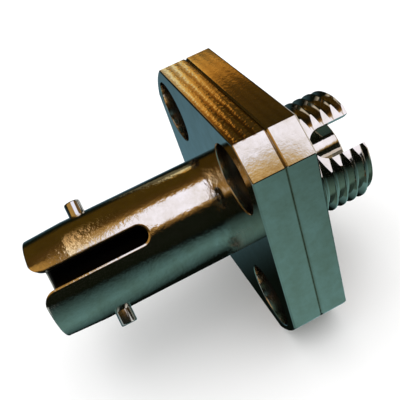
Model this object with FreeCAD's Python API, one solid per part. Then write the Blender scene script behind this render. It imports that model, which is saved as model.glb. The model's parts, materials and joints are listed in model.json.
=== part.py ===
import FreeCAD
import Part
import math
import os

# Adapter that joins a bayonet fibre plug to a threaded fibre plug, both with 2.5 mm ferrules.
# Millimetres. +X follows the optical axis towards the threaded end, +Z is up, and the flange sides
# face Y and Z. The origin is on the axis, in the flange face that seats on a panel.

# Split sleeve that lines up the two ferrules
ferrule_d = 2.5
sleeve_wall = 0.35
sleeve_length = 11.4
sleeve_slit = 0.45
sleeve_play = 0.1
sleeve_end_play = 0.3

# Two collared tubes that hold the sleeve, one in each half
holder_wall = 0.5
holder_fit = 0.02
neck_play = 0.15
neck_length = 0.55
neck_lead_in = 0.35
collar_rim = 1.3
collar_thickness = 1.0
collar_play = 0.05

# Flange of two plates, with a recessed screw hole in each corner
panel_plate = 1.8
hole_spacing = 10.0
edge_wall = 1.0
panel_corner_leg = 3.05
clamp_corner_leg = 1.6
seam_break = 0.12
face_break = 0.08

# Two screws that clamp the plates, in opposite corners
screw_d = 2.0
screw_thread_play = 0.02
screw_hole_play = 0.15
screw_tip_gap = 0.2
head_d = 3.8
head_height = 0.75
head_crown = 0.3
head_play = 0.3
head_sink = 0.85
head_floor = 0.4
drive_width = 0.5
drive_span = 2.0
drive_depth = 0.45

# Barrel of the bayonet side
socket_shoulder = 0.3
barrel_wall = 1.0
barrel_length = 12.85
lead_in_length = 2.6
lead_in_drop = 0.08
mouth_break = 0.15
socket_chamfer = 0.3
bayonet_keyway_width = 1.25
bayonet_keyway_length = 7.4
bayonet_keyway_flare = 0.9

# Two bayonet pins pressed through the barrel wall, square to its keyway
pin_d = 1.1
pin_setback = 3.82
pin_stand = 0.95
pin_inset = 0.1
pin_chamfer = 0.1

# Skirt of the threaded side, plain at the crest diameter of its thread, with a flat at the keyway
plug_gap = 0.65
skirt_wall = 0.65
thread_height = 0.5
tube_recess = 0.9
skirt_chamfer = 0.2
threaded_keyway_width = 2.15
threaded_keyway_length = 3.3

# Corner directions round the axis, in degrees from +Y towards +Z
clamp_corners = {"upper": 135.0, "lower": 315.0}
panel_corners = {"upper": 45.0, "lower": 225.0}

# Sizes that follow from those above
sleeve_r = ferrule_d / 2 + sleeve_wall
cavity_r = sleeve_r + sleeve_play
holder_r = cavity_r + holder_wall
holder_seat_r = holder_r + holder_fit
neck_r = ferrule_d / 2 + neck_play
collar_r = holder_r + collar_rim
collar_seat_r = collar_r + collar_play
cavity_depth = sleeve_length / 2 + sleeve_end_play
holder_length = cavity_depth + neck_length
recess_r = head_d / 2 + head_play
recess_depth = head_height + head_sink
bayonet_plate = recess_depth + head_floor
flange_half = hole_spacing / 2 + recess_r + edge_wall
corner_hole_radius = hole_spacing / math.sqrt(2)
screw_hole_r = screw_d / 2 + screw_hole_play
tapped_hole_r = screw_d / 2 + screw_thread_play
socket_r = holder_r + socket_shoulder
barrel_r = socket_r + barrel_wall
mouth_r = barrel_r - lead_in_drop
plug_bore_r = holder_r + plug_gap
thread_root_r = plug_bore_r + skirt_wall
thread_r = thread_root_r + thread_height

# Stations along the axis
panel_x = 0.0
seam_x = panel_x - panel_plate
face_x = seam_x - bayonet_plate
mouth_x = face_x - barrel_length
socket_floor_x = seam_x - holder_length
skirt_end_x = seam_x + holder_length + tube_recess
pin_x = mouth_x + pin_setback

# How far a cutter runs past the faces that it opens
overrun = bayonet_plate

AXIS = FreeCAD.Vector(1, 0, 0)
KEY_ANGLE = clamp_corners["upper"]


def radial(angle, radius=1.0):
    """Point at a radius and an angle round the axis, in the plane x = 0."""
    turn = math.radians(angle)
    return FreeCAD.Vector(0, radius * math.cos(turn), radius * math.sin(turn))


def turned(profile):
    """Solid turned about the X axis from a closed outline of (x, radius) points."""
    points = [FreeCAD.Vector(x, 0, r) for x, r in profile]
    outline = Part.makePolygon(points + points[:1])
    return Part.Face(outline).revolve(FreeCAD.Vector(0, 0, 0), AXIS, 360)


def rod(radius, x_start, x_end, centre=FreeCAD.Vector(0, 0, 0)):
    """Round bar along X about a centre line."""
    return Part.makeCylinder(radius, x_end - x_start, centre + AXIS * x_start, AXIS)


def keyway(x_mouth, x_end, width, reach, flare=0.0):
    """Cutter for a keyway that is open at its mouth, runs out from the axis towards the key corner,
    ends in a full round and, with a flare, has rounded corners at the mouth."""
    out = radial(KEY_ANGLE)
    across = AXIS.cross(out)
    inward = math.copysign(1.0, x_end - x_mouth)
    half = width / 2
    corner = flare * (1 - math.sqrt(0.5))

    def at(distance, offset):
        return AXIS * (x_mouth + inward * distance) + across * offset

    length = abs(x_end - x_mouth)
    start = [at(-overrun, -half - flare), at(0, -half - flare), at(flare, -half)]
    finish = [at(flare, half), at(0, half + flare), at(-overrun, half + flare)]
    end_low = at(length - half, -half)
    end_high = at(length - half, half)
    edges = [Part.LineSegment(start[0], start[1]).toShape()]
    if flare > 0:
        edges.append(Part.Arc(start[1], at(corner, -half - corner), start[2]).toShape())
    edges.append(Part.LineSegment(start[2], end_low).toShape())
    edges.append(Part.Arc(end_low, at(length, 0), end_high).toShape())
    edges.append(Part.LineSegment(end_high, finish[0]).toShape())
    if flare > 0:
        edges.append(Part.Arc(finish[0], at(corner, half + corner), finish[1]).toShape())
    edges.append(Part.LineSegment(finish[1], finish[2]).toShape())
    edges.append(Part.LineSegment(finish[2], start[0]).toShape())
    return Part.Face(Part.Wire(edges)).extrude(out * reach)


def keyway_flat():
    """Block that takes the skirt down to its thread root on the side of the keyway, clear of the plate."""
    out = radial(KEY_ANGLE)
    across = AXIS.cross(out)
    corner = AXIS * panel_x + out * thread_root_r - across * thread_r
    along = AXIS * (skirt_end_x + overrun - panel_x)
    width = across * (2 * thread_r)
    base = Part.makePolygon([corner, corner + along, corner + along + width, corner + width, corner])
    return Part.Face(base).extrude(out * (thread_height + overrun))


def flange_outline(x):
    """Square outline with arcs about the axis at the panel screws and flats at the clamp screws."""
    half = flange_half
    arc_leg = half - panel_corner_leg
    flat_leg = half - clamp_corner_leg
    arc_middle = math.hypot(half, arc_leg) / math.sqrt(2)
    edges = []
    for side in (1, -1):
        arc_start = FreeCAD.Vector(x, side * half, side * arc_leg)
        arc_top = FreeCAD.Vector(x, side * arc_middle, side * arc_middle)
        arc_end = FreeCAD.Vector(x, side * arc_leg, side * half)
        flat_start = FreeCAD.Vector(x, -side * flat_leg, side * half)
        flat_end = FreeCAD.Vector(x, -side * half, side * flat_leg)
        next_arc = FreeCAD.Vector(x, -side * half, -side * arc_leg)
        edges.append(Part.Arc(arc_start, arc_top, arc_end).toShape())
        edges.append(Part.LineSegment(arc_end, flat_start).toShape())
        edges.append(Part.LineSegment(flat_start, flat_end).toShape())
        edges.append(Part.LineSegment(flat_end, next_arc).toShape())
    return Part.Wire(edges)


def flange_plate(x_start, x_end):
    """One flange plate, its edges broken more at the seam than at the outer face."""
    plate = Part.Face(flange_outline(x_start)).extrude(AXIS * (x_end - x_start))
    for x, size in ((seam_x, seam_break), (face_x, face_break), (panel_x, face_break)):
        rim = [edge for edge in plate.Edges if all(abs(v.X - x) < 1e-6 for v in edge.Vertexes)]
        if rim:
            plate = plate.makeChamfer(size, rim)
    return plate


def bayonet_body():
    """Half with the keyed bayonet barrel, the outer flange plate and the screw head recesses."""
    plate = flange_plate(face_x, seam_x)
    barrel = turned([
        (seam_x - collar_thickness, 0),
        (mouth_x, 0),
        (mouth_x, mouth_r - mouth_break),
        (mouth_x + mouth_break, mouth_r),
        (mouth_x + lead_in_length, barrel_r),
        (seam_x - collar_thickness, barrel_r),
    ])
    bore = turned([
        (mouth_x - overrun, 0),
        (mouth_x - overrun, socket_r + socket_chamfer + overrun),
        (mouth_x + socket_chamfer, socket_r),
        (socket_floor_x, socket_r),
        (socket_floor_x, holder_seat_r),
        (seam_x - collar_thickness, holder_seat_r),
        (seam_x - collar_thickness, collar_seat_r),
        (seam_x + overrun, collar_seat_r),
        (seam_x + overrun, 0),
    ])
    cutters = [
        bore,
        keyway(
            mouth_x, mouth_x + bayonet_keyway_length, bayonet_keyway_width,
            barrel_r + overrun, bayonet_keyway_flare,
        ),
    ]
    for angle in (KEY_ANGLE - 90, KEY_ANGLE + 90):
        cutters.append(Part.makeCylinder(pin_d / 2, barrel_r + overrun, AXIS * pin_x, radial(angle)))
    for angle in list(clamp_corners.values()) + list(panel_corners.values()):
        centre = radial(angle, corner_hole_radius)
        cutters.append(rod(screw_hole_r, face_x - overrun, seam_x + overrun, centre))
        cutters.append(rod(recess_r, face_x - overrun, face_x + recess_depth, centre))
    return plate.fuse(barrel).cut(cutters).removeSplitter()


def threaded_body():
    """Half with the keyed threaded skirt and the flange plate that seats on the panel."""
    plate = flange_plate(seam_x, panel_x)
    skirt = turned([
        (seam_x + collar_thickness, 0),
        (seam_x + collar_thickness, thread_r),
        (skirt_end_x - skirt_chamfer, thread_r),
        (skirt_end_x, thread_r - skirt_chamfer),
        (skirt_end_x, 0),
    ])
    bore = turned([
        (skirt_end_x + overrun, 0),
        (skirt_end_x + overrun, plug_bore_r),
        (panel_x, plug_bore_r),
        (panel_x, holder_seat_r),
        (seam_x + collar_thickness, holder_seat_r),
        (seam_x + collar_thickness, collar_seat_r),
        (seam_x - overrun, collar_seat_r),
        (seam_x - overrun, 0),
    ])
    cutters = [
        bore,
        keyway(
            skirt_end_x, skirt_end_x - threaded_keyway_length, threaded_keyway_width,
            thread_r + overrun,
        ),
        keyway_flat(),
    ]
    for angle in clamp_corners.values():
        centre = radial(angle, corner_hole_radius)
        cutters.append(rod(tapped_hole_r, seam_x - overrun, panel_x + overrun, centre))
    for angle in panel_corners.values():
        centre = radial(angle, corner_hole_radius)
        cutters.append(rod(screw_hole_r, seam_x - overrun, panel_x + overrun, centre))
    return plate.fuse(skirt).cut(cutters).removeSplitter()


def sleeve_holder(way):
    """Collared tube that runs from the seam towards one end and keeps the sleeve in by its neck."""
    def station(distance):
        return seam_x + way * distance

    return turned([
        (station(0), cavity_r),
        (station(0), collar_r),
        (station(collar_thickness), collar_r),
        (station(collar_thickness), holder_r),
        (station(holder_length - holder_fit), holder_r),
        (station(holder_length), holder_r - holder_fit),
        (station(holder_length), neck_r + neck_lead_in),
        (station(holder_length - neck_lead_in), neck_r),
        (station(cavity_depth), neck_r),
        (station(cavity_depth), cavity_r),
    ])


def alignment_sleeve():
    """Thin tube, slit along its upper side, that floats in the two holders."""
    half = sleeve_length / 2
    tube = rod(sleeve_r, seam_x - half, seam_x + half)
    hole = rod(ferrule_d / 2, seam_x - half - overrun, seam_x + half + overrun)
    corner = FreeCAD.Vector(seam_x - half - overrun, -sleeve_slit / 2, 0)
    slit = Part.makeBox(sleeve_length + 2 * overrun, sleeve_slit, sleeve_r + overrun, corner)
    return tube.cut([hole, slit])


def bayonet_pin(angle):
    """Round pin that stands out of the barrel for the plug's bayonet ring to catch."""
    inner = socket_r + pin_inset
    outer = barrel_r + pin_stand
    out = radial(angle)
    shank = Part.makeCylinder(pin_d / 2, outer - pin_chamfer - inner, AXIS * pin_x + out * inner, out)
    tip_base = AXIS * pin_x + out * (outer - pin_chamfer)
    tip = Part.makeCone(pin_d / 2, pin_d / 2 - pin_chamfer, pin_chamfer, tip_base, out)
    return shank.fuse(tip).removeSplitter()


def assembly_screw(angle):
    """Pan head screw with a cross recess, sunk in the outer plate and tapped into the other."""
    seat_x = face_x + recess_depth
    top_x = seat_x - head_height
    side_x = top_x + head_crown
    tip_x = panel_x - screw_tip_gap
    head_r = head_d / 2
    crown_r = (head_r ** 2 + head_crown ** 2) / (2 * head_crown)
    half_turn = math.asin(head_r / crown_r) / 2
    corners = [
        FreeCAD.Vector(top_x, 0, 0),
        FreeCAD.Vector(tip_x, 0, 0),
        FreeCAD.Vector(tip_x, 0, screw_d / 2),
        FreeCAD.Vector(seat_x, 0, screw_d / 2),
        FreeCAD.Vector(seat_x, 0, head_r),
        FreeCAD.Vector(side_x, 0, head_r),
    ]
    edges = [Part.LineSegment(a, b).toShape() for a, b in zip(corners, corners[1:])]
    crown_x = top_x + crown_r * (1 - math.cos(half_turn))
    crown = FreeCAD.Vector(crown_x, 0, crown_r * math.sin(half_turn))
    edges.append(Part.Arc(corners[-1], crown, corners[0]).toShape())
    screw = Part.Face(Part.Wire(edges)).revolve(FreeCAD.Vector(0, 0, 0), AXIS, 360)
    for width, span in ((drive_width, drive_span), (drive_span, drive_width)):
        corner = FreeCAD.Vector(top_x - overrun, -width / 2, -span / 2)
        screw = screw.cut(Part.makeBox(overrun + drive_depth, width, span, corner))
    screw.translate(radial(angle, corner_hole_radius))
    return screw


nodes = {
    "bayonet_body": bayonet_body(),
    "threaded_body": threaded_body(),
    "bayonet_sleeve_holder": sleeve_holder(-1),
    "threaded_sleeve_holder": sleeve_holder(1),
    "alignment_sleeve": alignment_sleeve(),
}
for place, angle in panel_corners.items():
    nodes["bayonet_pin_" + place] = bayonet_pin(angle)
for place, angle in clamp_corners.items():
    nodes["assembly_screw_" + place] = assembly_screw(angle)

os.makedirs("parts", exist_ok=True)
for name, shape in nodes.items():
    shape.exportStep("parts/" + name + ".step")
    print(name, "solids", len(shape.Solids), "volume", round(shape.Volume, 2), shape.isValid())
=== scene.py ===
# %% [markdown]
# # A bayonet to threaded fibre adapter
# This small metal coupler joins two optical plugs with 2.5 mm ferrules. A slotted barrel with two
# pins takes a bayonet plug, a short threaded skirt takes a screw-on plug, and a flange of two square
# plates between them bolts to a patch panel. The CAD model is loaded first and stays as the frame:
# every piece below is drawn where that frame says, in the same axes, with X along the optical axis.

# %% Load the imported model
import json
import math

import bmesh
import bpy
from mathutils import Matrix, Vector


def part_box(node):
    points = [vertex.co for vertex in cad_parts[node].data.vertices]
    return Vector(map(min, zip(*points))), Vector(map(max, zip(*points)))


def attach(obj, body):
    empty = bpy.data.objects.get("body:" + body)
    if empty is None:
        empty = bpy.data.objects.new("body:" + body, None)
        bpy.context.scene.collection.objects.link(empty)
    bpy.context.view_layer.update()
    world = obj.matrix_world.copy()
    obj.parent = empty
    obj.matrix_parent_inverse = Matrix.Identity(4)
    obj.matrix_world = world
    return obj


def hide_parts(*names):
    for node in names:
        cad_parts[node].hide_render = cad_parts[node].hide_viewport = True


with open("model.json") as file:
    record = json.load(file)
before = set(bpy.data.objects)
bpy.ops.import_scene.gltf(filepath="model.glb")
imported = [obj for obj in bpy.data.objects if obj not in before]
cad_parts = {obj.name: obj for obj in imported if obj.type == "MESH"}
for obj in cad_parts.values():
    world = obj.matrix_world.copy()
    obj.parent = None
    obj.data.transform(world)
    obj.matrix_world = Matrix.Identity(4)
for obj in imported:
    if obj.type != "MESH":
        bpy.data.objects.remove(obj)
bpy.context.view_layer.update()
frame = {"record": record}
MM = 0.001

# %% [markdown]
# ## Sizes
# A good model has one source for each size. What the frame already knows is measured on it: the boxes
# of the CAD nodes give lengths and diameters, and the record's mounts give the bores and the thread.
# What neither of them says, such as the size of a broken edge, is named in millimetres in the cell
# that first needs it.

# %% Read the main sizes from the frame
def measured(name):
    """Lowest and highest corner of a CAD node, in millimetres."""
    low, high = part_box(name)
    return low / MM, high / MM


mounts = {mount["name"]: mount for mount in frame["record"]["mounts"]}
threaded_low, threaded_high = measured("threaded_body")
flange_half = threaded_high.y
seam_x = threaded_low.x
bayonet_plate = 2.0  # no node of the frame is this plate alone
face_x = seam_x - bayonet_plate
mouth_x = measured("bayonet_body")[0].x
skirt_end_x = threaded_high.x
socket_r = mounts["bayonet_socket"]["dims"]["r_mm"]
corner_hole = Vector(mounts["panel_screw_upper"]["pos_m"]) / MM
print("flange", round(2 * flange_half, 3), "mm, from", round(mouth_x, 3), "to", round(skirt_end_x, 3))

# %% [markdown]
# ## Camera
# The photograph looks down on the adapter from the bayonet side with the camera tilted, so the view is
# given as a place, a point to aim at and a roll about the line of sight. A camera close to a small
# object gives the strong perspective of the picture: the flange grows towards the viewer.

# %% Place the camera
camera_place = Vector((-10.441, -30.486, 24.343))
camera_aim = Vector((-5.045, 0.445, 0.579))
camera_roll = math.radians(-20.437)
camera_lens = 52.366

sight = (camera_aim - camera_place).normalized()
level = sight.cross(Vector((0, 0, 1))).normalized()
upright = level.cross(sight)
right = level * math.cos(camera_roll) + upright * math.sin(camera_roll)
up = right.cross(sight)
camera = bpy.data.objects.new("camera", bpy.data.cameras.new("camera"))
camera.matrix_world = Matrix((right, up, -sight)).transposed().to_4x4()
camera.location = camera_place * MM
camera.data.lens = camera_lens
camera.data.sensor_width = 36
camera.data.clip_start = 0.001
bpy.context.collection.objects.link(camera)
bpy.context.scene.camera = camera
print("camera", round((camera_aim - camera_place).length, 2), "mm from its aim")

# %% [markdown]
# ## Tools
# The whole adapter was turned, milled and drilled, so the shapes are made the same way: a profile is
# turned about the axis, an outline is lofted into a bar, and cutters are taken away with exact booleans.
# Work is in millimetres, because a boolean is more reliable on numbers near one than near a thousandth.
# Corners of a profile are eased with a small curve, since a perfectly sharp metal edge catches no light.

# %% Tools to make a clean shape
merge_distance = 1e-4
sliver_length = 1e-5


def cleaned(mesh):
    """Merge the doubles of a mesh, take out its slivers and turn its faces outwards."""
    work = bmesh.new()
    work.from_mesh(mesh)
    bmesh.ops.remove_doubles(work, verts=work.verts, dist=merge_distance)
    bmesh.ops.dissolve_degenerate(work, edges=work.edges, dist=sliver_length)
    bmesh.ops.recalc_face_normals(work, faces=work.faces)
    work.to_mesh(mesh)
    work.free()


def shape(points, faces, name="shape"):
    """Object from points and faces."""
    mesh = bpy.data.meshes.new(name)
    mesh.from_pydata([tuple(point) for point in points], [], faces)
    cleaned(mesh)
    made = bpy.data.objects.new(name, mesh)
    bpy.context.collection.objects.link(made)
    return made


print("tools: cleaned, shape")

# %% Tools to draw an arc and ease a corner
ease_steps = 4
edge_share = 0.45
nearly_straight = math.pi - 1e-3
on_axis = 1e-6


def arc(centre, radius, first, last, steps):
    """Points of a circular arc in a plane, angles in degrees."""
    angles = [math.radians(first + (last - first) * step / steps) for step in range(steps + 1)]
    return [(centre[0] + radius * math.cos(a), centre[1] + radius * math.sin(a)) for a in angles]


def rounded_corner(before, corner, after, size):
    """Points of a small curve in place of a corner between its two neighbours, none on a straight line."""
    corner = Vector(corner)
    before = Vector(before) - corner
    after = Vector(after) - corner
    if before.angle(after) > nearly_straight:
        return [corner]
    reach = min(size, edge_share * before.length, edge_share * after.length)
    start = corner + before.normalized() * reach
    end = corner + after.normalized() * reach
    shares = [step / ease_steps for step in range(ease_steps + 1)]
    return [start * (1 - t) ** 2 + corner * 2 * t * (1 - t) + end * t ** 2 for t in shares]


def eased(profile, size):
    """Closed profile with each corner off the axis swapped for a small curve."""
    rounded = []
    for index, corner in enumerate(profile):
        if corner[1] < on_axis:
            rounded.append(Vector(corner))
        else:
            after = profile[(index + 1) % len(profile)]
            rounded += rounded_corner(profile[index - 1], corner, after, size)
    return rounded


print("tools: arc, rounded_corner, eased, with", ease_steps + 1, "points to a corner")

# %% Tools to turn and to loft
turn_steps = 240


def turned(profile, steps=turn_steps):
    """Closed profile of (x, radius) points turned about the X axis."""
    count = len(profile)
    points = []
    for step in range(steps):
        turn = 2 * math.pi * step / steps
        points += [(p[0], p[1] * math.cos(turn), p[1] * math.sin(turn)) for p in profile]
    faces = []
    for step in range(steps):
        here = step * count
        there = (step + 1) % steps * count
        for a in range(count):
            b = (a + 1) % count
            if profile[a][1] > 0 or profile[b][1] > 0:
                faces.append((here + a, here + b, there + b, there + a))
    return shape(points, faces)


def lofted(rings):
    """Bar through a row of closed outlines with the same number of points, closed at both ends."""
    count = len(rings[0])
    points = [point for ring in rings for point in ring]
    faces = [tuple(range(count)), tuple(range(len(points) - count, len(points)))]
    for ring in range(len(rings) - 1):
        start = ring * count
        for a in range(count):
            b = (a + 1) % count
            faces.append((start + a, start + b, start + count + b, start + count + a))
    return shape(points, faces)


print("tools: turned, in", turn_steps, "steps, and lofted")

# %% Tools to cut, join and finish
crisp_angle = math.radians(32)


def settled(made):
    """Modifiers of an object worked into its mesh and then removed."""
    bpy.context.view_layer.update()
    depsgraph = bpy.context.evaluated_depsgraph_get()
    mesh = bpy.data.meshes.new_from_object(made.evaluated_get(depsgraph))
    made.modifiers.clear()
    made.data = mesh
    return made


def worked(body, operation, *others):
    """Body after a boolean with each of the other shapes, which are used up."""
    for other in others:
        step = body.modifiers.new("step", "BOOLEAN")
        step.operation = operation
        step.solver = "EXACT"
        step.object = other
        settled(body)
        bpy.data.objects.remove(other)
    return body


def finished(made, name, material, slot, *nodes):
    """Piece in metres with smooth curves, crisp edges and true flats, tied to the frame."""
    cleaned(made.data)
    made.data.transform(Matrix.Scale(MM, 4))
    made.name = name
    made.data.name = name
    made.data.materials.clear()
    made.data.materials.append(material)
    for face in made.data.polygons:
        face.use_smooth = True
        face.material_index = 0
    made.data.set_sharp_from_angle(angle=crisp_angle)
    flats = made.modifiers.new("flats", "WEIGHTED_NORMAL")
    flats.weight = 100
    flats.keep_sharp = True
    settled(made)
    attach(made, "root")
    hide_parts(*nodes)
    print(name, len(made.data.polygons), "faces, stands for", ", ".join(nodes))


print("tools: settled, worked, finished")

# %% [markdown]
# ## Colours and nodes
# Colours are picked as the hex values a screen shows, but shaders count light, so one function turns hex
# into linear values. Node trees are long-winded in code, so a second small function adds any node with
# its settings, and fills each input with a value or a link. A Mix node has sockets for each type of data:
# its A and B are inputs 2 and 3 for numbers and 6 and 7 for colours, which come out at output 2.

# %% Tools for colour and nodes
MATH = "ShaderNodeMath"
VECTOR = "ShaderNodeVectorMath"
RANGE = "ShaderNodeMapRange"
MIX = "ShaderNodeMix"
NOISE = "ShaderNodeTexNoise"


def linear(hex_value):
    """Linear RGBA of an sRGB hex colour."""
    parts = [int(hex_value[i:i + 2], 16) / 255 for i in (1, 3, 5)]
    return [p / 12.92 if p <= 0.04045 else ((p + 0.055) / 1.055) ** 2.4 for p in parts] + [1.0]


def node(tree, kind, inputs=(), **settings):
    """New node with its settings, each input given as a value, a socket or a node to link from."""
    made = tree.nodes.new(kind)
    for key, value in settings.items():
        setattr(made, key, value)
    for key, value in (inputs.items() if isinstance(inputs, dict) else enumerate(inputs)):
        if isinstance(value, bpy.types.Node):
            value = value.outputs[0]
        if isinstance(value, bpy.types.NodeSocket):
            tree.links.new(value, made.inputs[key])
        else:
            made.inputs[key].default_value = value
    return made


def new_material(name):
    """Empty material with its tree."""
    material = bpy.data.materials.new(name)
    material.use_nodes = True
    material.node_tree.nodes.clear()
    return material, material.node_tree


print("middle grey in linear light:", [round(v, 3) for v in linear("#808080")])

# %% [markdown]
# ## Bright nickel plate on brass
# The bodies are turned brass with a bright nickel plate. Nickel is a slightly warm mirror, and nearly all
# that the eye sees on it is the room, so the shader stays simple: a metallic base, a low roughness that
# wanders a little, and two kinds of bump. The first is the faint orange peel that a plating bath leaves.
# It is drawn coarser than it is, so that it shows, and deeper on the barrel than on the flange.

# %% Nickel: tone and orange peel
# What it gives the eye: a warm mirror, softly stained, that breaks up the room's image a little.
nickel, tree = new_material("bright_nickel_plate_on_brass")
peel_size = 0.3
peel_height = 0.012
peel_on_flange = 0.22
peel_fade = 0.1
peel_share = 0.4
stain_size = 1.2
least_rough = 0.04
most_rough = 0.1
place = node(tree, "ShaderNodeTexCoord").outputs["Object"]
place_x, place_y, place_z = node(tree, "ShaderNodeSeparateXYZ", [place]).outputs
peel = node(tree, NOISE, {
    "Vector": place, "Scale": 1 / (peel_size * MM), "Detail": 3.0, "Roughness": 0.6})
stain = node(tree, NOISE, {"Vector": place, "Scale": 1 / (stain_size * MM), "Detail": 3.0})
blotch = node(tree, RANGE, {"Value": stain, "From Min": 0.3, "From Max": 0.7})
mottle = node(tree, MIX, {"Factor": peel_share, 2: blotch, 3: peel}, data_type="FLOAT")
tone = node(tree, MIX, {
    "Factor": mottle, 6: linear("#DDD6CA"), 7: linear("#C4B9A5")}, data_type="RGBA").outputs[2]
gloss = node(tree, RANGE, {"Value": stain, "To Min": least_rough, "To Max": most_rough})
peel_depth = node(tree, RANGE, {
    "Value": place_x, "From Min": (face_x - peel_fade) * MM, "From Max": face_x * MM,
    "To Min": 1.0, "To Max": peel_on_flange})
peel_bump = node(tree, "ShaderNodeBump", {
    "Height": peel, "Strength": peel_depth, "Distance": peel_height * MM})
print("orange peel", peel_height, "mm deep, in grains of about", peel_size, "mm")

# %% [markdown]
# The second bump is the feed marks that a milling cutter left along the top and bottom edges of the flange,
# deeper on the bayonet side's plate. They could be cut into the mesh, but a wave along X is lighter, and
# their height above the axis keeps it to those edges. In the hollows the plate is worn and brass shows.

# %% Nickel: feed marks of the milling cutter
feed_step = 0.6
feed_height = 0.007
feed_past_seam = 0.25
seam_fade = 0.2
first_mark_x = face_x + 0.3
edge_from_z = flange_half - 0.06
edge_full_z = flange_half - 0.02
most_worn = 0.65
wave_radians = 20  # what Blender's wave runs through in one unit
feed_marks = node(tree, "ShaderNodeTexWave", {
    "Vector": place, "Scale": 2 * math.pi / (wave_radians * feed_step * MM), "Distortion": 1.6,
    "Detail": 2.0, "Detail Scale": 8.0,
    "Phase Offset": math.pi / 2 - 2 * math.pi * first_mark_x / feed_step})
from_middle = node(tree, MATH, [place_z], operation="ABSOLUTE")
on_edge = node(tree, RANGE, {
    "Value": from_middle, "From Min": edge_from_z * MM, "From Max": edge_full_z * MM})
before_seam = node(tree, RANGE, {
    "Value": place_x, "From Min": seam_x * MM, "From Max": (seam_x + seam_fade) * MM,
    "To Min": 1.0, "To Max": feed_past_seam})
feed_depth = node(tree, MATH, [on_edge, before_seam], operation="MULTIPLY")
feed_bump = node(tree, "ShaderNodeBump", {
    "Height": feed_marks, "Strength": feed_depth, "Distance": feed_height * MM, "Normal": peel_bump})
hollow = node(tree, RANGE, {"Value": feed_marks, "From Min": 0.5, "From Max": 0.1, "To Max": most_worn})
worn = node(tree, MATH, [hollow, feed_depth], operation="MULTIPLY")
plate_tone = node(tree, MIX, {
    "Factor": worn, 6: tone, 7: linear("#7C5826")}, data_type="RGBA").outputs[2]
print("feed marks every", feed_step, "mm,", feed_height, "mm deep")

# %% [markdown]
# Inside the barrel and down in the screw recesses the base colour is darkened as painted shade, and the
# metal is made duller. Each such place is told by its distance from the axis of its hole. The four recesses
# lie alike about the axis, so one distance serves them all once the signs of Y and Z are dropped.

# %% Nickel: painted shade and a duller finish in the bore and recesses
recess_r = 2.2
recess_depth = 1.6
recess_margin = 0.02
recess_shade_and_dull = 0.85
recess_from_x = face_x + 0.1
recess_full_x = face_x + 0.9
recess_floor_x = face_x + recess_depth
bore_shaded_r = socket_r + 0.15
bore_unshaded_r = socket_r + 0.28
mouth_from_x = mouth_x - 0.05
mouth_full_x = mouth_x + 0.1
off_axis = node(tree, "ShaderNodeCombineXYZ", {"Y": place_y, "Z": place_z})
radius = node(tree, VECTOR, [off_axis], operation="LENGTH").outputs["Value"]
in_bore = node(tree, RANGE, {
    "Value": radius, "From Min": bore_unshaded_r * MM, "From Max": bore_shaded_r * MM})
in_barrel = node(tree, RANGE, {
    "Value": place_x, "From Min": mouth_from_x * MM, "From Max": mouth_full_x * MM})
short_of_face = node(tree, MATH, [place_x, face_x * MM], operation="LESS_THAN")
deep_in_bore = node(tree, MATH, [in_bore, in_barrel], operation="MULTIPLY")
bore_part = node(tree, MATH, [deep_in_bore, short_of_face], operation="MULTIPLY")
first_quarter = node(tree, VECTOR, [off_axis], operation="ABSOLUTE")
from_screw = node(tree, VECTOR, [
    first_quarter, (0.0, corner_hole.y * MM, corner_hole.y * MM)], operation="DISTANCE").outputs["Value"]
in_recess = node(tree, MATH, [from_screw, (recess_r + recess_margin) * MM], operation="LESS_THAN")
above_floor = node(tree, MATH, [place_x, (recess_floor_x + recess_margin) * MM], operation="LESS_THAN")
below_face = node(tree, RANGE, {
    "Value": place_x, "From Min": recess_from_x * MM, "From Max": recess_full_x * MM,
    "To Max": recess_shade_and_dull})
recess_wall = node(tree, MATH, [in_recess, above_floor], operation="MULTIPLY")
recess_part = node(tree, MATH, [recess_wall, below_face], operation="MULTIPLY")
# Share of painted shade, which also makes the metal duller, in the bore and down the recesses.
shaded_and_dull = node(tree, MATH, [bore_part, recess_part], operation="MAXIMUM")
print("dull below", round(bore_shaded_r, 2), "mm from the axis and down the recesses")

# %% [markdown]
# Under the barrel's root a buffing wheel can't reach, so the plate there keeps a satin look. That also
# softens the mirror image of the recess beside it. Then all the parts meet in one shader.

# %% Nickel: satin root and the shader
dull_rough = 0.3
root_from_x = face_x - 1.3
root_full_x = face_x - 0.5
root_from_z = 0.3
root_full_z = -0.2
root_end = node(tree, RANGE, {
    "Value": place_x, "From Min": root_from_x * MM, "From Max": root_full_x * MM})
root_under = node(tree, RANGE, {
    "Value": place_z, "From Min": root_from_z * MM, "From Max": root_full_z * MM})
root_band = node(tree, MATH, [root_end, short_of_face], operation="MULTIPLY")
root_part = node(tree, MATH, [root_band, root_under], operation="MULTIPLY")
outer_rough = node(tree, MIX, {"Factor": root_part, 2: gloss, 3: dull_rough}, data_type="FLOAT")
rough = node(tree, MIX, {"Factor": shaded_and_dull, 2: outer_rough, 3: dull_rough}, data_type="FLOAT")
# Painted shade: the base colour goes nearly black in the bore and down the recesses.
base = node(tree, MIX, {
    "Factor": shaded_and_dull, 6: plate_tone, 7: linear("#1E1B17")}, data_type="RGBA").outputs[2]
skin = node(tree, "ShaderNodeBsdfPrincipled", {
    "Base Color": base, "Metallic": 1.0, "Roughness": rough, "Normal": feed_bump})
node(tree, "ShaderNodeOutputMaterial", {"Surface": skin})
print("material", nickel.name, "with", len(tree.nodes), "nodes")

# %% [markdown]
# ## Other finishes
# The bayonet pins are ground steel, a little greyer than nickel. The screws are plated steel with a soft
# sheen. Both have a fine grain that breaks up their gloss, drawn coarser than it is so that it shows, and
# one function makes them. The sleeve inside is polished zirconia, a dense white ceramic with a high
# refractive index, so it shines more than plastic does. Its faint clouding is drawn coarse as well.

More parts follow.
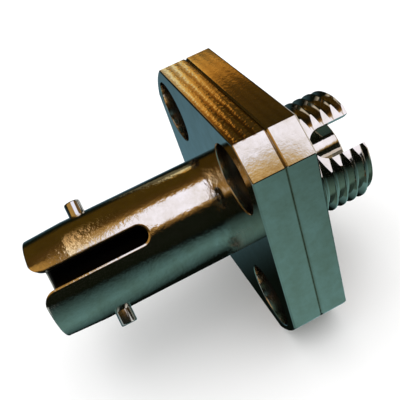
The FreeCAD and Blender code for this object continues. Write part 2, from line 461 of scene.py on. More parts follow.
# %% Ground steel and plated steel
def grained_steel(name, colour, grain_size, gloss_range, strength, depth):
    """Steel whose gloss and surface follow a grain, sizes in millimetres."""
    material, tree = new_material(name)
    place = node(tree, "ShaderNodeTexCoord").outputs["Object"]
    grain = node(tree, NOISE, {"Vector": place, "Scale": 1 / (grain_size * MM), "Detail": 3.0})
    gloss = node(tree, RANGE, {"Value": grain, "To Min": gloss_range[0], "To Max": gloss_range[1]})
    bump = node(tree, "ShaderNodeBump", {"Height": grain, "Strength": strength, "Distance": depth * MM})
    skin = node(tree, "ShaderNodeBsdfPrincipled", {
        "Base Color": linear(colour), "Metallic": 1.0, "Roughness": gloss, "Normal": bump})
    node(tree, "ShaderNodeOutputMaterial", {"Surface": skin})
    return material


# What they give the eye: a crisp, cool glint on the pins, and a soft grey sheen down in the recesses.
ground_steel = grained_steel(
    "ground_steel", "#CBC8C2", grain_size=0.1, gloss_range=(0.08, 0.16), strength=0.4, depth=0.0005)
plated_steel = grained_steel(
    "plated_steel", "#8E887B", grain_size=0.25, gloss_range=(0.3, 0.45), strength=0.5, depth=0.002)
print("materials", ground_steel.name, plated_steel.name)

# %% Polished zirconia
# What it gives the eye: a clean, slightly ivory white with a bright shine.
zirconia, tree = new_material("polished_zirconia")
cloud_size = 0.4
place = node(tree, "ShaderNodeTexCoord").outputs["Object"]
cloud = node(tree, NOISE, {"Vector": place, "Scale": 1 / (cloud_size * MM), "Detail": 2.0})
tone = node(tree, MIX, {
    "Factor": cloud, 6: linear("#F1EFEA"), 7: linear("#E6E2D9")}, data_type="RGBA").outputs[2]
skin = node(tree, "ShaderNodeBsdfPrincipled", {"Base Color": tone, "Roughness": 0.1, "IOR": 2.1})
node(tree, "ShaderNodeOutputMaterial", {"Surface": skin})
print("material", zirconia.name)

# %% [markdown]
# ## Ring of copies
# Pins, screws and corner holes all repeat round the axis. Geometry Nodes suit that: one tree sets points
# on a ring, puts a copy of a shape on each, turned to face out from the axis, and makes them real again.
# The same tree serves cutters and finished pieces, with other numbers in its inputs.

# %% Node tree for a ring of copies
def inputs_of(tree, *sockets):
    """Identifier of each named input that a tree gets, and the outputs of its group input node."""
    names = {}
    for name, kind in sockets:
        made = tree.interface.new_socket(name, in_out="INPUT", socket_type="NodeSocket" + kind)
        names[name] = made.identifier
    tree.interface.new_socket("Geometry", in_out="OUTPUT", socket_type="NodeSocketGeometry")
    return names, tree.nodes.new("NodeGroupInput").outputs


ring_tree = bpy.data.node_groups.new("ring_of_copies", "GeometryNodeTree")
tree = ring_tree
ring_inputs, given = inputs_of(
    tree, ("Shape", "Object"), ("Count", "Int"), ("Ring Radius", "Float"), ("First Angle", "Float"),
    ("Material", "Material"))
index = node(tree, "GeometryNodeInputIndex")
share = node(tree, MATH, [index, given["Count"]], operation="DIVIDE")
angle = node(tree, MATH, [share, 2 * math.pi, given["First Angle"]], operation="MULTIPLY_ADD")
spread = node(tree, "ShaderNodeVectorRotate", {
    "Vector": (0, 1, 0), "Angle": angle}, rotation_type="X_AXIS")
spot = node(tree, VECTOR, {0: spread, "Scale": given["Ring Radius"]}, operation="SCALE")
row = node(tree, "GeometryNodeMeshLine", {"Count": given["Count"], "Offset": (0, 0, 0)})
points = node(tree, "GeometryNodeSetPosition", {"Geometry": row, "Position": spot})
facing = node(tree, "ShaderNodeCombineXYZ", {"X": angle})
source = node(tree, "GeometryNodeObjectInfo", {"Object": given["Shape"]})
copies = node(tree, "GeometryNodeInstanceOnPoints", {
    "Points": points, "Instance": source.outputs["Geometry"], "Rotation": facing})
real = node(tree, "GeometryNodeRealizeInstances", {"Geometry": copies})
dressed = node(tree, "GeometryNodeSetMaterial", {"Geometry": real, "Material": given["Material"]})
node(tree, "NodeGroupOutput", {"Geometry": dressed})
print("tree", ring_tree.name, "with inputs", ", ".join(ring_inputs))

# %% Tools to grow a shape from a tree
def grown(tree, identifiers, values):
    """Plain mesh object from a node tree, its inputs set by identifier."""
    made = bpy.data.objects.new("grown", bpy.data.meshes.new("grown"))
    bpy.context.collection.objects.link(made)
    growth = made.modifiers.new("growth", "NODES")
    growth.node_group = tree
    for name, value in values.items():
        growth[identifiers[name]] = value
    return settled(made)


def ring_of(source_shape, count, radius, first_angle, material=nickel):
    """Copies of a shape round the axis; the single shape is used up."""
    made = grown(ring_tree, ring_inputs, {
        "Shape": source_shape, "Count": count, "Ring Radius": radius, "First Angle": first_angle,
        "Material": material})
    bpy.data.objects.remove(source_shape)
    return made


print("tools: grown, ring_of")

# %% [markdown]
# ## Flange plates
# The flange is two square plates held face to face by two sunk screws. Two opposite corners are turned to
# an arc about the axis, at the panel screws, and the two at the clamp screws are cut off flat. The seam
# between the plates shows as a small V, because each plate has its edge broken there, with a hair of a gap
# at its bottom, which draws a thin dark line. A plate is lofted through copies of one outline, drawn in.

# %% Outline of the flange
panel_corner_leg = 3.05
clamp_corner_leg = 1.6
corner_round = 0.04
corner_steps = 24


def flange_outline(x, inset=0.0):
    """Points of the flange outline at a station, drawn in by an inset that keeps its sides parallel."""
    half = flange_half - inset
    arc_r = math.hypot(flange_half, flange_half - panel_corner_leg) - inset
    arc_end = math.degrees(math.acos(half / arc_r))
    flat = half - clamp_corner_leg + inset * (2 - math.sqrt(2))
    side = arc((0, 0), arc_r, arc_end, 90 - arc_end, corner_steps)
    opposite = (-side[0][0], -side[0][1])
    side += rounded_corner(side[-1], (-flat, half), (-half, flat), corner_round)
    side += rounded_corner((-flat, half), (-half, flat), opposite, corner_round)
    return [Vector((x, y, z)) for y, z in side + [(-y, -z) for y, z in side]]


print("outline has", len(flange_outline(0)), "points")

# %% Plates of the flange
face_break = 0.1
rim_steps = 4
seam_break = 0.12
seam_gap = 0.02
seam_gap_depth = 0.15


def plate(outer_x, way):
    """Plate from an outer face to the seam, with a rounded outer rim, a chamfer and a fine gap there."""
    rings = []
    for step in range(rim_steps + 1):
        turn = math.radians(90 * step / rim_steps)
        inset = face_break * (1 - math.sin(turn))
        rings.append(flange_outline(outer_x + way * face_break * (1 - math.cos(turn)), inset))
    rings.append(flange_outline(seam_x - way * seam_break))
    rings.append(flange_outline(seam_x - way * seam_gap, seam_break - seam_gap))
    rings.append(flange_outline(seam_x - way * seam_gap, seam_break + seam_gap_depth))
    rings.append(flange_outline(seam_x, seam_break + seam_gap_depth))
    return lofted(rings)


print("seam", 2 * seam_break, "mm wide, with a gap of", 2 * seam_gap, "mm at its bottom")

# %% Cutter for a round hole
past = 2.0  # how far a cutter reaches past the metal
lip_steps = 5
hole_steps = 96


def hole(radius, from_x, to_x, rim=0.0):
    """Round cutter along X that rounds over the rim of the hole where it enters at from_x."""
    way = math.copysign(1.0, to_x - from_x)
    lip = [(from_x + way * (rim + a), radius + rim + r) for a, r in arc((0, 0), rim, 180, 270, lip_steps)]
    outer_x = from_x - way * past
    return turned([(outer_x, 0), (outer_x, radius + rim), *lip, (to_x, radius), (to_x, 0)], hole_steps)


print("tool: hole, reaching", past, "mm past the metal")

# %% [markdown]
# ## Keyways
# Each port has a keyway that turns the plug the right way round. A cutter with a full round end makes it.
# On the bayonet barrel the mouth flares in two quarter rounds, and the edge along the outside is broken by
# a wide, very shallow bevel, which shows as a bright line. A Bevel modifier would catch on the barrel's
# many edges, so the cutter itself widens just under the surface, point by point at the barrel's height.

# %% Cutter for a keyway
bayonet_key = {"width": 1.25, "length": 7.4, "flare": 0.9}
key_angle = math.radians(135)
key_out = Vector((0, math.cos(key_angle), math.sin(key_angle)))
key_across = Vector((1, 0, 0)).cross(key_out)
flare_steps = 12
end_steps = 24


def keyway_outline(key, grow=0.0):
    """Points (distance from the mouth, offset) of a keyway outline, widened all round by a little."""
    half = key["width"] / 2
    flare = key["flare"]
    side = [(-past, half + grow)]
    if flare > 0:
        side = [(-past, half + flare)] + arc((flare, half + flare), flare - grow, 180, 270, flare_steps)
    end = arc((key["length"] - half, 0), half + grow, 90, -90, end_steps)
    return side + end + [(d, -o) for d, o in reversed(side)]


def flat_at(height):
    """Level of a cutter with the same height at every station and offset."""
    return lambda x, o: height


def keyway(key, mouth, way, levels):
    """Cutter lofted through levels of (widening, height at a station and offset)."""
    rings = []
    for grow, height in levels:
        rings.append([
            Vector((mouth + way * d, 0, 0)) + key_across * o + key_out * height(mouth + way * d, o)
            for d, o in keyway_outline(key, grow)])
    return lofted(rings)


print("keyway outline has", len(keyway_outline(bayonet_key)), "points")

# %% [markdown]
# ## Bayonet body
# One plate and the barrel are a single turned piece. The barrel meets the plate in a sharp inner corner, as
# a facing tool leaves it. Then the stepped bore, the keyway, the pin holes and the corner holes are cut.
# Rings along the barrel keep the faces short, so that a cut bends the shading only close to it.

# %% Barrel
barrel_r = 3.5
lead_in_length = 2.6
lead_in_drop = 0.14
barrel_ease = 0.12
root_overlap = 0.5
ring_step = 0.6


def barrel_radius(x):
    """Outer radius of the bayonet barrel, which tapers a little over its lead-in."""
    taper = max(0.0, min(1.0, 1 - (x - mouth_x) / lead_in_length))
    return barrel_r - lead_in_drop * taper


first_ring_x = mouth_x + lead_in_length
ring_count = int((face_x - first_ring_x) / ring_step)
rings_x = [first_ring_x + ring_step * (ring + 1) for ring in range(ring_count)]
barrel_end_x = seam_x - root_overlap
barrel = turned(eased([
    (mouth_x, 0), (mouth_x, barrel_radius(mouth_x)), (first_ring_x, barrel_r),
    *[(x, barrel_r) for x in rings_x], (barrel_end_x, barrel_r), (barrel_end_x, 0)], barrel_ease))
print("barrel with", ring_count, "rings, radius", barrel_radius(mouth_x), "to", barrel_r, "mm")

# %% Stepped bore
socket_chamfer = 0.3
holder_seat_r = 2.22
collar_thickness = 1.0
collar_seat_r = 3.55
bore_ease = 0.08
holder_high = measured("threaded_sleeve_holder")[1]
holder_length = holder_high.x - seam_x
socket_floor_x = seam_x - holder_length
bore = turned(eased([
    (mouth_x - past, 0), (mouth_x - past, socket_r + socket_chamfer + past),
    (mouth_x + socket_chamfer, socket_r), (socket_floor_x, socket_r), (socket_floor_x, holder_seat_r),
    (seam_x - collar_thickness, holder_seat_r), (seam_x - collar_thickness, collar_seat_r),
    (seam_x + past, collar_seat_r), (seam_x + past, 0)], bore_ease))
print("socket", round(socket_floor_x - mouth_x, 3), "mm deep")

# %% Keyway of the barrel
key_edge_width = 0.13
key_edge_depth = 0.038
key_edge_swell = 0.24
key_edge_steps = 4


def barrel_height(depth):
    """Height of a round surface at a depth below the barrel's own, over an offset from the middle."""
    return lambda x, o: math.sqrt((barrel_radius(x) - depth) ** 2 - o ** 2)


edge_levels = []
for step in range(key_edge_steps + 1):
    part = step / key_edge_steps
    depth = key_edge_depth * (1 - part) * (1 - key_edge_swell * part)
    edge_levels.append((key_edge_width * part, barrel_height(depth)))
key_cutter = keyway(bayonet_key, mouth_x, 1, [
    (0.0, flat_at(0.0)), *edge_levels, (key_edge_width, flat_at(barrel_r + past))])
print("keyway", bayonet_key["width"], "mm wide with a bevel of", key_edge_width, "mm")

# %% Pin holes and corner holes
pin_low, pin_high = measured("bayonet_pin_upper")
pin_x = (pin_low.x + pin_high.x) / 2
pin_r = (pin_high.x - pin_low.x) / 2
pin_angle = key_angle - math.pi / 2
pin_steps = 64
pin_clearance = 0.015
pin_hole_r = pin_r + pin_clearance
screw_hole_r = mounts["panel_screw_upper"]["dims"]["r_mm"]
corner_radius = math.hypot(corner_hole.y, corner_hole.z)
corner_angle = math.radians(45)
recess_rim = 0.06


def across_barrel(made):
    """Shape turned from the X axis to stand across the barrel at the pins' station."""
    made.data.transform(Matrix.Rotation(math.pi / 2, 4, "Z"))
    made.data.transform(Matrix.Translation((pin_x, 0, 0)))
    return made


pin_drill = across_barrel(turned([
    (0.0, 0.0), (0.0, pin_hole_r), (barrel_r + past, pin_hole_r), (barrel_r + past, 0.0)], pin_steps))
pin_holes = ring_of(pin_drill, 2, 0.0, pin_angle)
recesses = ring_of(hole(recess_r, face_x, recess_floor_x, recess_rim), 4, corner_radius, corner_angle)
through = ring_of(hole(screw_hole_r, seam_x + past, face_x - past), 4, corner_radius, corner_angle)
print("pin holes of radius", round(pin_hole_r, 3), "and corner holes", round(corner_radius, 3), "mm out")

# %% Bayonet half, joined and cut
bayonet_half = worked(plate(face_x, 1), "UNION", barrel)
worked(bayonet_half, "DIFFERENCE", bore, key_cutter, pin_holes, recesses, through)
finished(bayonet_half, "bayonet_half", nickel, "nickel_plated_brass", "bayonet_body")

# %% [markdown]
# ## Thread
# A screw thread is a rule: the radius depends only on how far a point is along the helix. So a flat grid is
# wrapped round the axis and sheared by one pitch, which lays its rows along the helix and keeps the crests
# clean, and each point then gets the radius of its place in the thread's profile. Points past either end
# are held at the end and drawn to the axis, which closes the body. An eighth of the pitch is flat at the
# root and another at the crest.

# %% Node tree for a screw thread: places along the helix
thread_tree = bpy.data.node_groups.new("screw_thread", "GeometryNodeTree")
tree = thread_tree
thread_inputs, given = inputs_of(
    tree, ("Start", "Float"), ("End", "Float"), ("Crest Radius", "Float"), ("Depth", "Float"),
    ("Pitch", "Float"), ("Chamfer", "Float"), ("Lead", "Float"), ("Rows", "Int"), ("Row Step", "Float"),
    ("Steps", "Int"), ("Material", "Material"))
grid = node(tree, "GeometryNodeMeshGrid", {
    "Size X": 1.0, "Size Y": 1.0, "Vertices X": given["Rows"], "Vertices Y": given["Steps"]})
spot = node(tree, "ShaderNodeSeparateXYZ", [node(tree, "GeometryNodeInputPosition")])
turn = node(tree, MATH, [spot.outputs["Y"], 0.5], operation="ADD")
share = node(tree, MATH, [spot.outputs["X"], 0.5], operation="ADD")
last_row = node(tree, MATH, [given["Rows"], 1.0], operation="SUBTRACT")
row_number = node(tree, MATH, [share, last_row], operation="MULTIPLY")
flat_x = node(tree, MATH, [row_number, given["Row Step"], given["Lead"]], operation="MULTIPLY_ADD")
climb = node(tree, MATH, [turn, given["Pitch"]], operation="MULTIPLY")
helix_x = node(tree, MATH, [flat_x, climb], operation="ADD")
after_start = node(tree, MATH, [helix_x, given["Start"]], operation="MAXIMUM")
held_x = node(tree, MATH, [after_start, given["End"]], operation="MINIMUM")
print("tree", thread_tree.name, "with inputs", ", ".join(thread_inputs))

# %% Radius of each point of the thread
root_flat = 1 / 8
crest_flat = 1 / 8
unrolled = node(tree, MATH, [held_x, climb], operation="SUBTRACT")
from_lead = node(tree, MATH, [unrolled, given["Lead"]], operation="SUBTRACT")
turns = node(tree, MATH, [from_lead, given["Pitch"]], operation="DIVIDE")
phase = node(tree, MATH, [turns], operation="FRACT")
from_root = node(tree, MATH, [phase, 0.5], operation="SUBTRACT")
off_root = node(tree, MATH, [from_root], operation="ABSOLUTE")
flank = node(tree, RANGE, {
    "Value": off_root, "From Min": root_flat / 2, "From Max": (1 - crest_flat) / 2,
    "To Min": 1.0, "To Max": 0.0})
cut_depth = node(tree, MATH, [flank, given["Depth"]], operation="MULTIPLY")
full_r = node(tree, MATH, [given["Crest Radius"], cut_depth], operation="SUBTRACT")
to_end = node(tree, MATH, [given["End"], held_x], operation="SUBTRACT")
end_r = node(tree, MATH, [given["Crest Radius"], given["Chamfer"]], operation="SUBTRACT")
cone_r = node(tree, MATH, [end_r, to_end], operation="ADD")
held_r = node(tree, MATH, [full_r, cone_r], operation="MINIMUM")
overshoot = node(tree, MATH, [helix_x, held_x], operation="SUBTRACT")
beyond = node(tree, MATH, [overshoot], operation="ABSOLUTE")
inside = node(tree, MATH, [beyond, given["Row Step"]], operation="LESS_THAN")
closed_r = node(tree, MATH, [held_r, inside], operation="MULTIPLY")
print("flanks between flats of", root_flat, "and", crest_flat, "of the pitch")

# %% Wrap the grid and close it
seal_distance = 0.0005
angle = node(tree, MATH, [turn, 2 * math.pi], operation="MULTIPLY")
rim_point = node(tree, "ShaderNodeVectorRotate", {
    "Vector": (0, 1, 0), "Angle": angle}, rotation_type="X_AXIS")
spoke = node(tree, VECTOR, {0: rim_point, "Scale": closed_r}, operation="SCALE")
station = node(tree, "ShaderNodeCombineXYZ", {"X": held_x})
wrapped = node(tree, VECTOR, [spoke, station], operation="ADD")
body = node(tree, "GeometryNodeSetPosition", {"Geometry": grid, "Position": wrapped})
sealed = node(tree, "GeometryNodeMergeByDistance", {"Geometry": body, "Distance": seal_distance})
real = node(tree, "GeometryNodeRealizeInstances", {"Geometry": sealed})
dressed = node(tree, "GeometryNodeSetMaterial", {"Geometry": real, "Material": given["Material"]})
node(tree, "NodeGroupOutput", {"Geometry": dressed})
print("tree", thread_tree.name, "has", len(thread_tree.nodes), "nodes")

# %% [markdown]
# ## Threaded body
# The second plate carries the threaded skirt. The thread is grown as a solid that starts inside the plate,
# joined to it, and then bored and slotted, so the keyway shows the thread's true section in its walls. A
# flat is milled beside the keyway, down to about the root, and leaves the crests as a row of bright teeth.

# %% Grow the thread
pitch = 0.75
thread_depth = 0.44
skirt_chamfer = 0.2
rows_per_pitch = 16
crest_x = 3.93  # where a crest stands on the +Y side
spare_turns = 2
thread_r = mounts["threaded_coupling"]["dims"]["r_mm"]
thread_start_x = seam_x + root_overlap
lead_turns = math.ceil((crest_x - thread_start_x) / pitch) + spare_turns
rows = round(((skirt_end_x - thread_start_x) / pitch + 2 * spare_turns) * rows_per_pitch) + 1
thread = grown(thread_tree, thread_inputs, {
    "Start": thread_start_x, "End": skirt_end_x, "Crest Radius": thread_r, "Depth": thread_depth,
    "Pitch": pitch, "Chamfer": skirt_chamfer, "Lead": crest_x - lead_turns * pitch, "Rows": rows,
    "Row Step": pitch / rows_per_pitch, "Steps": turn_steps + 1, "Material": nickel})
cleaned(thread.data)
print("thread of pitch", pitch, "and depth", thread_depth, "mm in", rows, "rows")

# %% Cutters for the threaded body
threaded_key = {"width": 2.15, "length": 3.3, "flare": 0.0}
plug_bore_r = 2.85
port_chamfer = 0.12
flat_height = 3.48
flat_from_x = 0.02
flat_tilt = math.radians(-1.5)
tapped_hole_r = 1.02
tapped_rim = 0.1
clear_rim = 0.06
skirt_past_x = skirt_end_x + past
port = turned(eased([
    (skirt_past_x, 0), (skirt_past_x, plug_bore_r + port_chamfer + past),
    (skirt_end_x - port_chamfer, plug_bore_r), (0.0, plug_bore_r), (0.0, holder_seat_r),
    (seam_x + collar_thickness, holder_seat_r), (seam_x + collar_thickness, collar_seat_r),
    (seam_x - past, collar_seat_r), (seam_x - past, 0)], bore_ease))
slot_cutter = keyway(threaded_key, skirt_end_x, -1, [(0.0, flat_at(0.0)), (0.0, flat_at(thread_r + past))])
flat_corners = (
    (flat_from_x, -thread_r), (skirt_past_x, -thread_r), (skirt_past_x, thread_r), (flat_from_x, thread_r))
flat_cutter = lofted([
    [Vector((x, 0, 0)) + key_across * o + key_out * height for x, o in flat_corners]
    for height in (flat_height, thread_r + past)])
flat_cutter.data.transform(Matrix.Rotation(flat_tilt, 4, "X"))
tapped = ring_of(hole(tapped_hole_r, 0.0, seam_x - past, tapped_rim), 2, corner_radius, key_angle)
clear = ring_of(hole(screw_hole_r, 0.0, seam_x - past, clear_rim), 2, corner_radius, corner_angle)
print("flat", round(thread_r - flat_height, 3), "mm below the crests")

# %% Threaded half, joined and cut
threaded_half = worked(plate(0.0, -1), "UNION", thread)
worked(threaded_half, "DIFFERENCE", port, slot_cutter, flat_cutter, tapped, clear)
finished(threaded_half, "threaded_half", nickel, "nickel_plated_brass", "threaded_body")

# %% [markdown]
# ## Sleeve holders and sleeve
# Two collared tubes are clamped between the plates and keep the split sleeve in. Only the ends of the tubes
# show, one in each port, with the necks that the ferrules enter. Both are turned from one profile, which
# runs one way or the other from the seam. The sleeve is a plain tube with a slit cut along it.

# %% Sleeve holders
holder_r = 2.2
cavity_r = 1.7
neck_r = 1.4
neck_length = 0.55
neck_lead_in = 0.35
collar_r = holder_high.y


def holder(way):
    """Collared tube from the seam towards one end."""
    outline = [
        (0.0, cavity_r), (0.0, collar_r), (collar_thickness, collar_r), (collar_thickness, holder_r),
        (holder_length, holder_r), (holder_length, neck_r + neck_lead_in),
        (holder_length - neck_lead_in, neck_r), (holder_length - neck_length, neck_r),
        (holder_length - neck_length, cavity_r)]
    return turned(eased([(seam_x + way * x, r) for x, r in outline], bore_ease))


for way, name in ((-1, "bayonet_sleeve_holder"), (1, "threaded_sleeve_holder")):
    finished(holder(way), name.replace("_sleeve_holder", "_holder_tube"), nickel, "holder_nickel", name)

# %% Alignment sleeve
ferrule_r = 1.25
sleeve_slit = 0.45
sleeve_ease = 0.06
sleeve_low, sleeve_high = measured("alignment_sleeve")
sleeve_r = sleeve_high.y
tube = turned(eased([
    (sleeve_low.x, ferrule_r), (sleeve_low.x, sleeve_r),
    (sleeve_high.x, sleeve_r), (sleeve_high.x, ferrule_r)], sleeve_ease))
slit_corners = (
    (sleeve_low.x - past, 0), (sleeve_high.x + past, 0),
    (sleeve_high.x + past, sleeve_r + past), (sleeve_low.x - past, sleeve_r + past))
slit = lofted([[Vector((x, y, z)) for x, z in slit_corners] for y in (-sleeve_slit / 2, sleeve_slit / 2)])
worked(tube, "DIFFERENCE", slit)
finished(tube, "split_sleeve", zirconia, "zirconia", "alignment_sleeve")

# %% [markdown]
# ## Pins and screws
# Two short steel pins stand out of the barrel, square to the keyway. Two pan head screws with a cross drive
# clamp the plates. Each is turned once, and the ring of copies puts both in place.

# %% Bayonet pins
pin_tip_r = 4.45
pin_seat_r = 2.6
pin_ease = 0.12
pin = across_barrel(turned(eased([
    (pin_seat_r, 0), (pin_seat_r, pin_r), (pin_tip_r, pin_r), (pin_tip_r, 0)], pin_ease), pin_steps))
pins = ring_of(pin, 2, 0.0, pin_angle, ground_steel)
finished(pins, "bayonet_pins", ground_steel, "pin_steel", "bayonet_pin_upper", "bayonet_pin_lower")

# %% Turn a screw
screw_low, screw_high = measured("assembly_screw_upper")
head_r = (screw_high.y - screw_low.y) / 2
head_top_x = screw_low.x
screw_tip_x = screw_high.x
head_crown = 0.3
crown_steps = 10
shank_r = 1.0
screw_ease = 0.06
crown_r = (head_r ** 2 + head_crown ** 2) / (2 * head_crown)
crown_turn = math.degrees(math.asin(head_r / crown_r))
crown = arc((head_top_x + crown_r, 0), crown_r, 180, 180 - crown_turn, crown_steps)
shank = eased([(recess_floor_x, head_r), (recess_floor_x, shank_r), (screw_tip_x, shank_r)], screw_ease)
screw = turned([(head_top_x, 0.0)] + crown[1:] + shank + [(screw_tip_x, 0.0)], hole_steps)
print("screw head of radius", round(head_r, 3), "mm, crowned by", head_crown)

# %% Cut its cross drive and set both screws
drive_half = 1.0
drive_width = 0.25
drive_depth = 0.45
drive_open = 1.2
drive_taper = 0.8
arm = [(drive_half, drive_width), (drive_width, drive_width), (drive_width, drive_half)]
quarters = ((1, 1, arm), (-1, 1, arm[::-1]), (-1, -1, arm), (1, -1, arm[::-1]))
cross = [(y * a, z * b) for a, b, corner in quarters for y, z in corner]
drive_levels = ((head_top_x - past, drive_open), (head_top_x + drive_depth, drive_taper))
drive = lofted([[Vector((x, y * size, z * size)) for y, z in cross] for x, size in drive_levels])
worked(screw, "DIFFERENCE", drive)
screws = ring_of(screw, 2, corner_radius, key_angle, plated_steel)
finished(
    screws, "assembly_screws", plated_steel, "screw_steel", "assembly_screw_upper", "assembly_screw_lower")

# %% [markdown]
# ## Floor and lamp
# The adapter rests on a plain pale floor under one large soft lamp. The floor's own colour makes the pale
# background, and it takes the soft shadow. It is wide, and the backdrop takes its white, so that from a low
# view the horizon is only a faint, soft change. Bright metal would mirror the floor and lose its form, so,
# as a product photographer does with dark cards, the floor is kept out of reflections and the room
# replaces it.

# %% Floor
floor_z = -flange_half
floor_half = 4000.0
floor_white = linear("#F4F4F4")
floor_corners = [(x * floor_half, y * floor_half, floor_z) for x, y in ((-1, -1), (1, -1), (1, 1), (-1, 1))]
floor = shape(floor_corners, [(0, 1, 2, 3)], "floor")
floor.data.transform(Matrix.Scale(MM, 4))
# What it gives the eye: an even white without any shine.
paper, tree = new_material("matt_white_paper")
skin = node(tree, "ShaderNodeBsdfDiffuse", {"Color": floor_white})
node(tree, "ShaderNodeOutputMaterial", {"Surface": skin})
floor.data.materials.append(paper)
floor.visible_glossy = False
print("floor at", round(floor_z, 2), "mm")

# %% Lamp
lamp_size = 300.0
lamp_height = 200.0
lamp_watts = 0.25
lamp_data = bpy.data.lights.new("softbox", "AREA")
lamp_data.shape = "RECTANGLE"
lamp_data.size = lamp_size * MM
lamp_data.size_y = lamp_size * MM
lamp_data.energy = lamp_watts
lamp = bpy.data.objects.new("softbox", lamp_data)
lamp.location = (0, 0, lamp_height * MM)
lamp.visible_glossy = False
bpy.context.collection.objects.link(lamp)
print("lamp", lamp_size, "mm wide,", lamp_watts, "W")

# %% [markdown]
# ## Room
# A mirror-like part shows its room. Overhead hangs a white softbox whose warm spill fades over a dark
# ceiling, with a small warm lamp beside it. Gold panels stand behind and at the left, a white sheet stands
# on the threaded side, and below is a blue-green bench with a pale fill at its left. An image could hold
# all this, but here it is worked out from the direction of a reflected ray, which needs no file. Directions
# are laid out on a flat ceiling (or bench) one unit away, so a square lamp is simply a rectangle there.

# %% Directions in the room
SMOOTH = {"interpolation_type": "SMOOTHSTEP"}
least_rise = 0.02
studio = bpy.data.worlds.new("studio")
studio.use_nodes = True
room = studio.node_tree
room.nodes.clear()
direction = node(room, "ShaderNodeTexCoord").outputs["Generated"]
way_x, way_y, way_z = node(room, "ShaderNodeSeparateXYZ", [direction]).outputs
rise = node(room, MATH, [way_z], operation="ABSOLUTE")
reach = node(room, MATH, [rise, least_rise], operation="MAXIMUM")
plan_x = node(room, MATH, [way_x, reach], operation="DIVIDE")
plan_y = node(room, MATH, [way_y, reach], operation="DIVIDE")


def patch(**edges):
    """Share of a patch inside its named soft edges, each a value, where it starts and where it is full."""
    share = 1.0
    for name, (value, start, full) in edges.items():
        limits = {"Value": value, "From Min": start, "From Max": full}
        edge = node(room, RANGE, limits, label=name, **SMOOTH)
        share = node(room, MATH, [share, edge], operation="MULTIPLY", label=name)
    return share


print("directions are laid out with", len(room.nodes), "nodes")

# %% How far a direction lies outside the softbox
softbox_left = -0.3
softbox_right = 0.76
softbox_front = -0.74
softbox_back = 0.15
bow_from = 0.36
front_bow = 6.0
corner_lean = 3.5
corner_cut = 0.02
corner_fall = 0.35
back_fall = 1.8
corner_soft = 0.05
past_bow = node(room, MATH, [plan_x, bow_from], operation="SUBTRACT")
right_only = node(room, MATH, [past_bow, 0.0], operation="MAXIMUM")
bow = node(room, MATH, [right_only, 2.0], operation="POWER")
bowed_y = node(room, MATH, [bow, front_bow, plan_y], operation="MULTIPLY_ADD")
front_gap = node(room, MATH, [softbox_front, bowed_y], operation="SUBTRACT")
past_back = node(room, MATH, [plan_y, softbox_back], operation="SUBTRACT")
back_gap = node(room, MATH, [past_back, back_fall], operation="MULTIPLY")
left_gap = node(room, MATH, [softbox_left, plan_x], operation="SUBTRACT")
right_gap = node(room, MATH, [plan_x, softbox_right], operation="SUBTRACT")
past_corner = node(room, MATH, [plan_x, -corner_lean, plan_y], operation="MULTIPLY_ADD")
off_corner = node(room, MATH, [past_corner, corner_cut], operation="SUBTRACT")
corner_gap = node(room, MATH, [off_corner, corner_fall], operation="MULTIPLY")
away = front_gap
for gap in (back_gap, left_gap, right_gap, corner_gap):
    away = node(room, MATH, [away, gap, corner_soft], operation="SMOOTH_MAX")
print("softbox spans", round(softbox_right - softbox_left, 2), "by", round(softbox_back - softbox_front, 2))

# %% Its warm spill over a dark ceiling
softbox_level = 1.66
darkest = 0.85
spill = node(room, "ShaderNodeValToRGB", [away])
spill.color_ramp.elements[0].color = linear("#E8EAFF")
spill.color_ramp.elements[-1].color = linear("#4C390D")
for stop, colour in ((0.008, "#F4DFB0"), (0.02, "#E8C682"), (0.07, "#C09555"), (0.15, "#96733F"),
                     (0.28, "#75562B"), (0.5, "#543C16")):
    spill.color_ramp.elements.new(stop).color = linear(colour)
lamp_level = node(room, RANGE, {
    "Value": away, "From Min": -0.03, "From Max": 0.0, "To Min": softbox_level, "To Max": 1.0}, **SMOOTH)
far = node(room, MATH, [
    patch(front=(plan_y, -0.85, -1.25)), patch(low=(rise, 0.4, 0.15))], operation="MAXIMUM")
dark_side = node(room, RANGE, {
    "Value": plan_x, "From Min": 0.2, "From Max": 0.32, "To Max": darkest}, **SMOOTH)
dark_back = patch(back=(plan_y, 0.25, 0.4))
dark_corner = node(room, MATH, [dark_side, dark_back], operation="MULTIPLY")
dark = node(room, MATH, [far, dark_corner], operation="MAXIMUM")
ceiling = node(room, MIX, {"Factor": dark, 6: spill, 7: linear("#10150B")}, data_type="RGBA").outputs[2]
print("spill fades through", len(spill.color_ramp.elements), "colours")

# %% Small warm lamp beside the softbox
warm = patch(
    clear=(away, 0.0, 0.05), left=(plan_x, -0.17, -0.14), right=(plan_x, -0.072, -0.11),
    back=(plan_y, 1.2, 0.45), front=(plan_y, -0.3, -0.15))
warm_from = node(room, RANGE, {"Value": plan_y, "From Min": -0.1, "From Max": 0.9})
warm_tone = node(room, "ShaderNodeValToRGB", [warm_from])
warm_tone.color_ramp.elements[0].color = linear("#FFF3DC")
warm_tone.color_ramp.elements[-1].color = linear("#A9844E")
for stop, colour in ((0.22, "#FFE6BC"), (0.42, "#EAC48E")):
    warm_tone.color_ramp.elements.new(stop).color = linear(colour)
print("warm lamp fades through", len(warm_tone.color_ramp.elements), "colours")

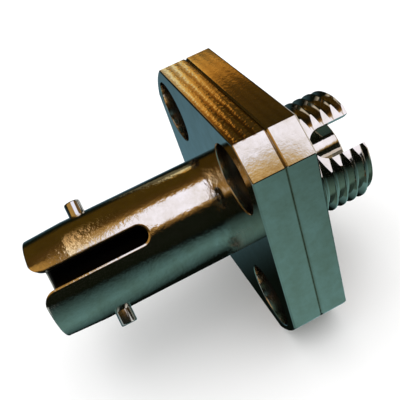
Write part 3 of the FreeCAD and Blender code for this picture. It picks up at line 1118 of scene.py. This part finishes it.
# %% Gold panels behind and at the left
gold_bend_x = 0.56
gold_lean = -2.0
gold_least = 0.15
left_middle_y = -0.3
gold_bend = node(room, MATH, [plan_x, gold_bend_x], operation="MINIMUM")
gold_slant = node(room, MATH, [gold_bend, gold_lean, plan_y], operation="MULTIPLY_ADD")
gold_from = node(room, RANGE, {"Value": gold_slant, "From Min": 0.4, "From Max": 1.3})
gold_tone = node(room, "ShaderNodeValToRGB", [gold_from])
gold_tone.color_ramp.elements[0].color = linear("#43320E")
gold_tone.color_ramp.elements[-1].color = linear("#FFF3C4")
for stop, colour in ((0.38, "#523910"), (0.45, "#A26C24"), (0.56, "#D8953A"), (0.74, "#F2B857"),
                     (0.86, "#FFDC84")):
    gold_tone.color_ramp.elements.new(stop).color = linear(colour)
gold_line = node(room, MATH, [plan_x, plan_y], operation="ADD")
gold_far = node(room, RANGE, {
    "Value": gold_line, "From Min": 2.83, "From Max": 2.71, "To Min": gold_least}, **SMOOTH)
gold_front = patch(side=(plan_x, 0.2, 0.28), end=(plan_x, 0.85, 0.72), back=(plan_y, 1.2, 1.6))
gold_part = node(room, MATH, [gold_front, gold_far], operation="MULTIPLY")
off_middle = node(room, MATH, [plan_y, left_middle_y], operation="SUBTRACT")
left_off = node(room, MATH, [off_middle], operation="ABSOLUTE")
left_gold = patch(side=(plan_x, -0.2, -0.34), width=(left_off, 0.45, 0.3))
print("gold runs through", len(gold_tone.color_ramp.elements), "colours")

# %% Bench below
shade_lean = 2.0
left_level = 0.78
bench_width = patch(side=(plan_x, 1.45, 0.1))
bench_left = node(room, RANGE, {"Value": plan_x, "From Min": -0.1, "From Max": 0.2, "To Min": left_level})
shade_line = node(room, MATH, [plan_x, shade_lean, plan_y], operation="MULTIPLY_ADD")
shade_front = node(room, RANGE, {"Value": shade_line, "From Min": -1.0, "From Max": 0.16})
shade_patch = patch(side=(plan_x, 0.24, 0.15), back=(plan_y, 1.4, 0.9))
shade = node(room, MATH, [shade_front, shade_patch], operation="MULTIPLY")
bench_open = node(room, MATH, [1.0, shade], operation="SUBTRACT")
bench_part = rise
for part in (bench_width, bench_left, bench_open):
    bench_part = node(room, MATH, [bench_part, part], operation="MULTIPLY")
bench_back = patch(back=(plan_y, 0.5, 1.5))
bench_tone = node(room, MIX, {
    "Factor": bench_back, 6: linear("#7DAEB1"), 7: linear("#84B5CA")}, data_type="RGBA").outputs[2]
below = node(room, MIX, {
    "Factor": bench_part, 6: linear("#0B110D"), 7: bench_tone}, data_type="RGBA").outputs[2]
print("bench and ceiling take", len(room.nodes), "nodes")

# %% Lay the lamps, panels, bench and sheets over each other
fill_part = patch(side=(way_x, -0.35, -0.7), height=(rise, 0.5, 0.25), front=(way_y, 0.35, 0.1))
sheet_part = patch(side=(way_x, 0.5, 0.66), height=(rise, 0.55, 0.35))
under = patch(horizon=(way_z, 0.04, -0.04))
lit_below = node(room, MIX, {
    "Factor": fill_part, 6: below, 7: linear("#B4C0C4")}, data_type="RGBA").outputs[2]
seen = ceiling
for part, colour in ((warm, warm_tone), (gold_part, gold_tone), (left_gold, linear("#C89A50")),
                     (under, lit_below), (sheet_part, linear("#FFFFFF"))):
    seen = node(room, MIX, {"Factor": part, 6: seen, 7: colour}, data_type="RGBA").outputs[2]
print("room has", len(room.nodes), "nodes")

# %% [markdown]
# The room is for reflections only. Everything else is lit by a plain soft white, and the camera sees the
# floor's own white behind the adapter. Light Path tells the three kinds of ray apart.

# %% Room for reflections, soft white for everything else
warm_boost = 0.6
warm_level = node(room, MATH, [warm, warm_boost, lamp_level], operation="MULTIPLY_ADD")
level_above = node(room, MIX, {"Factor": under, 2: warm_level, 3: 1.0}, data_type="FLOAT")
mirrored = node(room, "ShaderNodeBackground", {"Color": seen, "Strength": level_above})
soft_white = node(room, "ShaderNodeBackground", {"Color": linear("#FFFFFF"), "Strength": 1.0})
far_floor = node(room, "ShaderNodeBackground", {"Color": floor_white, "Strength": 1.0})
rays = node(room, "ShaderNodeLightPath")
plain = node(room, "ShaderNodeMixShader", [rays.outputs["Is Camera Ray"], soft_white, far_floor])
whole = node(room, "ShaderNodeMixShader", [rays.outputs["Is Glossy Ray"], plain, mirrored])
node(room, "ShaderNodeOutputWorld", {"Surface": whole})
bpy.context.scene.world = studio
bpy.context.scene.view_settings.view_transform = "Standard"
print("world", studio.name, "with view transform", bpy.context.scene.view_settings.view_transform)
